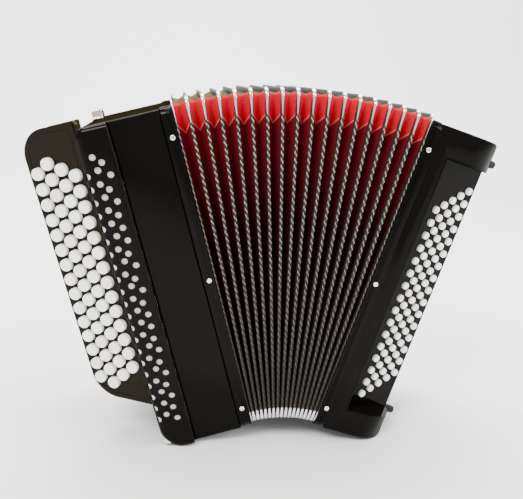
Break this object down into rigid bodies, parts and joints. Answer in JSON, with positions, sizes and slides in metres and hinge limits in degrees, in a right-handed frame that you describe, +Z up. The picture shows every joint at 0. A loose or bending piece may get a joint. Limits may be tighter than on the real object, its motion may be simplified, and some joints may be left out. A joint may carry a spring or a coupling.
{
  "type": "button accordion",
  "caption": "Chromatic button accordion with fanned bellows, slanted treble keyboard, perforated grille and recessed bass button board.",
  "frame": {"origin": "middle of the underside of the box round the instrument as it stands fanned open", "axes": "+X towards the bass side, -Y is the player's front view with the keyboard and grille, +Z up"},
  "size_m": [0.5536, 0.2018, 0.4213],
  "materials": {
    "case": "polished black celluloid",
    "buttons": "polished white",
    "grille": "gloss black",
    "grille_cloth": "light woven cloth",
    "bellows": "red cloth on card, black tape on the ridges",
    "reed_wood": "sanded spruce",
    "soundboard": "satin",
    "steel": "drawn rod",
    "bracket": "polished",
    "strap": "black leather",
    "foot": "moulded black"
  },
  "bodies": {
    "treble": {"treble_case": "case", "treble_soundboard": "soundboard", "treble_front_cover": "case", "treble_grille": "grille", "grille_cloth": "grille_cloth", "treble_reed_block_1": "reed_wood", "treble_reed_block_2": "reed_wood", "bellows_frame_treble": "case", "keyboard_deck": "case", "keyboard_back_cover": "case", "strap_bracket_upper": "bracket", "strap_bracket_lower": "bracket", "treble_pallet_axle_1": "steel", "treble_pallet_axle_2": "steel", "treble_pallet_axle_3": "steel", "treble_pallet_axle_4": "steel"},
    "bass": {"bass_case": "case", "bass_soundboard": "soundboard", "bass_button_board": "case", "bass_reed_block": "reed_wood", "bass_end_cover": "case", "bellows_frame_bass": "case", "bass_hand_strap": "strap", "hand_strap_bracket": "bracket", "bass_foot_1": "foot", "bass_foot_2": "foot", "bass_foot_3": "foot", "bass_foot_4": "foot"},
    "bellows_fold_01": {"bellows_fold_01": "bellows"},
    "bellows_fold_02": {"bellows_fold_02": "bellows"},
    "bellows_fold_03": {"bellows_fold_03": "bellows"},
    "bellows_fold_04": {"bellows_fold_04": "bellows"},
    "bellows_fold_05": {"bellows_fold_05": "bellows"},
    "bellows_fold_06": {"bellows_fold_06": "bellows"},
    "bellows_fold_07": {"bellows_fold_07": "bellows"},
    "bellows_fold_08": {"bellows_fold_08": "bellows"},
    "bellows_fold_09": {"bellows_fold_09": "bellows"},
    "bellows_fold_10": {"bellows_fold_10": "bellows"},
    "bellows_fold_11": {"bellows_fold_11": "bellows"},
    "bellows_fold_12": {"bellows_fold_12": "bellows"},
    "bellows_fold_13": {"bellows_fold_13": "bellows"},
    "bellows_fold_14": {"bellows_fold_14": "bellows"},
    "bellows_fold_15": {"bellows_fold_15": "bellows"},
    "bellows_fold_16": {"bellows_fold_16": "bellows"},
    "treble_buttons_row_1": {"treble_buttons_row_1": "buttons"},
    "treble_pallets_row_1": {"treble_pallets_row_1": "soundboard"},
    "treble_buttons_row_2": {"treble_buttons_row_2": "buttons"},
    "treble_pallets_row_2": {"treble_pallets_row_2": "soundboard"},
    "treble_buttons_row_3": {"treble_buttons_row_3": "buttons"},
    "treble_pallets_row_3": {"treble_pallets_row_3": "soundboard"},
    "treble_buttons_row_4": {"treble_buttons_row_4": "buttons"},
    "treble_pallets_row_4": {"treble_pallets_row_4": "soundboard"},
    "bass_buttons_row_1": {"bass_buttons_row_1": "buttons"},
    "bass_buttons_row_2": {"bass_buttons_row_2": "buttons"},
    "bass_buttons_row_3": {"bass_buttons_row_3": "buttons"},
    "bass_buttons_row_4": {"bass_buttons_row_4": "buttons"},
    "bass_buttons_row_5": {"bass_buttons_row_5": "buttons"},
    "air_button": {"air_button": "buttons"},
    "air_valve": {"air_valve": "soundboard"},
    "strap_adjuster_wheel": {"strap_adjuster_wheel": "bracket"}
  },
  "joints": [
    {"name": "bellows_fan", "type": "hinge", "parent": "treble", "child": "bass", "pos_m": [0.02449, -0.0904, 0.02975], "axis": [0, 1, 0], "range_deg": [-32, 6]},
    {"name": "fold_01_hinge", "type": "hinge", "parent": "treble", "child": "bellows_fold_01", "pos_m": [0.02449, -0.0904, 0.02975], "axis": [0, 1, 0], "range_deg": [-1.89, 0.36]},
    {"name": "fold_02_hinge", "type": "hinge", "parent": "treble", "child": "bellows_fold_02", "pos_m": [0.02449, -0.0904, 0.02975], "axis": [0, 1, 0], "range_deg": [-3.77, 0.72]},
    {"name": "fold_03_hinge", "type": "hinge", "parent": "treble", "child": "bellows_fold_03", "pos_m": [0.02449, -0.0904, 0.02975], "axis": [0, 1, 0], "range_deg": [-5.66, 1.07]},
    {"name": "fold_04_hinge", "type": "hinge", "parent": "treble", "child": "bellows_fold_04", "pos_m": [0.02449, -0.0904, 0.02975], "axis": [0, 1, 0], "range_deg": [-7.54, 1.42]},
    {"name": "fold_05_hinge", "type": "hinge", "parent": "treble", "child": "bellows_fold_05", "pos_m": [0.02449, -0.0904, 0.02975], "axis": [0, 1, 0], "range_deg": [-9.42, 1.77]},
    {"name": "fold_06_hinge", "type": "hinge", "parent": "treble", "child": "bellows_fold_06", "pos_m": [0.02449, -0.0904, 0.02975], "axis": [0, 1, 0], "range_deg": [-11.3, 2.13]},
    {"name": "fold_07_hinge", "type": "hinge", "parent": "treble", "child": "bellows_fold_07", "pos_m": [0.02449, -0.0904, 0.02975], "axis": [0, 1, 0], "range_deg": [-13.19, 2.48]},
    {"name": "fold_08_hinge", "type": "hinge", "parent": "treble", "child": "bellows_fold_08", "pos_m": [0.02449, -0.0904, 0.02975], "axis": [0, 1, 0], "range_deg": [-15.07, 2.83]},
    {"name": "fold_09_hinge", "type": "hinge", "parent": "treble", "child": "bellows_fold_09", "pos_m": [0.02449, -0.0904, 0.02975], "axis": [0, 1, 0], "range_deg": [-16.95, 3.19]},
    {"name": "fold_10_hinge", "type": "hinge", "parent": "treble", "child": "bellows_fold_10", "pos_m": [0.02449, -0.0904, 0.02975], "axis": [0, 1, 0], "range_deg": [-18.83, 3.54]},
    {"name": "fold_11_hinge", "type": "hinge", "parent": "treble", "child": "bellows_fold_11", "pos_m": [0.02449, -0.0904, 0.02975], "axis": [0, 1, 0], "range_deg": [-20.72, 3.89]},
    {"name": "fold_12_hinge", "type": "hinge", "parent": "treble", "child": "bellows_fold_12", "pos_m": [0.02449, -0.0904, 0.02975], "axis": [0, 1, 0], "range_deg": [-22.6, 4.25]},
    {"name": "fold_13_hinge", "type": "hinge", "parent": "treble", "child": "bellows_fold_13", "pos_m": [0.02449, -0.0904, 0.02975], "axis": [0, 1, 0], "range_deg": [-24.48, 4.6]},
    {"name": "fold_14_hinge", "type": "hinge", "parent": "treble", "child": "bellows_fold_14", "pos_m": [0.02449, -0.0904, 0.02975], "axis": [0, 1, 0], "range_deg": [-26.36, 4.95]},
    {"name": "fold_15_hinge", "type": "hinge", "parent": "treble", "child": "bellows_fold_15", "pos_m": [0.02449, -0.0904, 0.02975], "axis": [0, 1, 0], "range_deg": [-28.25, 5.3]},
    {"name": "fold_16_hinge", "type": "hinge", "parent": "treble", "child": "bellows_fold_16", "pos_m": [0.02449, -0.0904, 0.02975], "axis": [0, 1, 0], "range_deg": [-30.13, 5.66]},
    {"name": "treble_row_1_press", "type": "slide", "parent": "treble", "child": "treble_buttons_row_1", "axis": [0.3906, 0.9135, 0.1135], "range_m": [0, 0.004], "stiffness_N_per_m": 300, "springref_m": -0.004},
    {"name": "treble_pallets_1_lift", "type": "hinge", "parent": "treble", "child": "treble_pallets_row_1", "pos_m": [-0.14949, -0.0814, 0.18434], "axis": [-0.2791, 0, 0.9603], "range_deg": [-0.01, 12.01]},
    {"name": "treble_row_2_press", "type": "slide", "parent": "treble", "child": "treble_buttons_row_2", "axis": [0.3906, 0.9135, 0.1135], "range_m": [0, 0.004], "stiffness_N_per_m": 300, "springref_m": -0.004},
    {"name": "treble_pallets_2_lift", "type": "hinge", "parent": "treble", "child": "treble_pallets_row_2", "pos_m": [-0.13028, -0.0814, 0.18992], "axis": [-0.2791, 0, 0.9603], "range_deg": [-0.01, 12.01]},
    {"name": "treble_row_3_press", "type": "slide", "parent": "treble", "child": "treble_buttons_row_3", "axis": [0.3906, 0.9135, 0.1135], "range_m": [0, 0.004], "stiffness_N_per_m": 300, "springref_m": -0.004},
    {"name": "treble_pallets_3_lift", "type": "hinge", "parent": "treble", "child": "treble_pallets_row_3", "pos_m": [-0.11108, -0.0814, 0.1955], "axis": [-0.2791, 0, 0.9603], "range_deg": [-0.01, 12.01]},
    {"name": "treble_row_4_press", "type": "slide", "parent": "treble", "child": "treble_buttons_row_4", "axis": [0.3906, 0.9135, 0.1135], "range_m": [0, 0.004], "stiffness_N_per_m": 300, "springref_m": -0.004},
    {"name": "treble_pallets_4_lift", "type": "hinge", "parent": "treble", "child": "treble_pallets_row_4", "pos_m": [-0.09187, -0.0814, 0.20108], "axis": [-0.2791, 0, 0.9603], "range_deg": [-0.01, 12.01]},
    {"name": "bass_row_1_press", "type": "slide", "parent": "bass", "child": "bass_buttons_row_1", "axis": [-0.3914, 0.9135, 0.1107], "range_m": [0, 0.0035], "stiffness_N_per_m": 300, "springref_m": -0.004},
    {"name": "bass_row_2_press", "type": "slide", "parent": "bass", "child": "bass_buttons_row_2", "axis": [-0.3914, 0.9135, 0.1107], "range_m": [0, 0.0035], "stiffness_N_per_m": 300, "springref_m": -0.004},
    {"name": "bass_row_3_press", "type": "slide", "parent": "bass", "child": "bass_buttons_row_3", "axis": [-0.3914, 0.9135, 0.1107], "range_m": [0, 0.0035], "stiffness_N_per_m": 300, "springref_m": -0.004},
    {"name": "bass_row_4_press", "type": "slide", "parent": "bass", "child": "bass_buttons_row_4", "axis": [-0.3914, 0.9135, 0.1107], "range_m": [0, 0.0035], "stiffness_N_per_m": 300, "springref_m": -0.004},
    {"name": "bass_row_5_press", "type": "slide", "parent": "bass", "child": "bass_buttons_row_5", "axis": [-0.3914, 0.9135, 0.1107], "range_m": [0, 0.0035], "stiffness_N_per_m": 300, "springref_m": -0.004},
    {"name": "air_button_press", "type": "slide", "parent": "bass", "child": "air_button", "axis": [-0.9622, 0, 0.2722], "range_m": [0, 0.005], "stiffness_N_per_m": 150, "springref_m": -0.005},
    {"name": "air_valve_lift", "type": "slide", "parent": "bass", "child": "air_valve", "axis": [-0.9622, 0, 0.2722], "range_m": [0, 0.005]},
    {"name": "strap_adjuster_turn", "type": "hinge", "parent": "bass", "child": "strap_adjuster_wheel", "pos_m": [0.25712, 0.0356, 0.33039], "axis": [0.2722, 0, 0.9622], "continuous": true}
  ],
  "couplings": [
    {"joint": "fold_01_hinge", "follows": "bellows_fan", "ratio": 0.058824},
    {"joint": "fold_02_hinge", "follows": "bellows_fan", "ratio": 0.11765},
    {"joint": "fold_03_hinge", "follows": "bellows_fan", "ratio": 0.17647},
    {"joint": "fold_04_hinge", "follows": "bellows_fan", "ratio": 0.23529},
    {"joint": "fold_05_hinge", "follows": "bellows_fan", "ratio": 0.29412},
    {"joint": "fold_06_hinge", "follows": "bellows_fan", "ratio": 0.35294},
    {"joint": "fold_07_hinge", "follows": "bellows_fan", "ratio": 0.41176},
    {"joint": "fold_08_hinge", "follows": "bellows_fan", "ratio": 0.47059},
    {"joint": "fold_09_hinge", "follows": "bellows_fan", "ratio": 0.52941},
    {"joint": "fold_10_hinge", "follows": "bellows_fan", "ratio": 0.58823},
    {"joint": "fold_11_hinge", "follows": "bellows_fan", "ratio": 0.64706},
    {"joint": "fold_12_hinge", "follows": "bellows_fan", "ratio": 0.70588},
    {"joint": "fold_13_hinge", "follows": "bellows_fan", "ratio": 0.76471},
    {"joint": "fold_14_hinge", "follows": "bellows_fan", "ratio": 0.82353},
    {"joint": "fold_15_hinge", "follows": "bellows_fan", "ratio": 0.88235},
    {"joint": "fold_16_hinge", "follows": "bellows_fan", "ratio": 0.94118},
    {"joint": "treble_pallets_1_lift", "follows": "treble_row_1_press", "rad_per_m": 52.36},
    {"joint": "treble_pallets_2_lift", "follows": "treble_row_2_press", "rad_per_m": 52.36},
    {"joint": "treble_pallets_3_lift", "follows": "treble_row_3_press", "rad_per_m": 52.36},
    {"joint": "treble_pallets_4_lift", "follows": "treble_row_4_press", "rad_per_m": 52.36},
    {"joint": "air_valve_lift", "follows": "air_button_press", "ratio": 1}
  ]
}
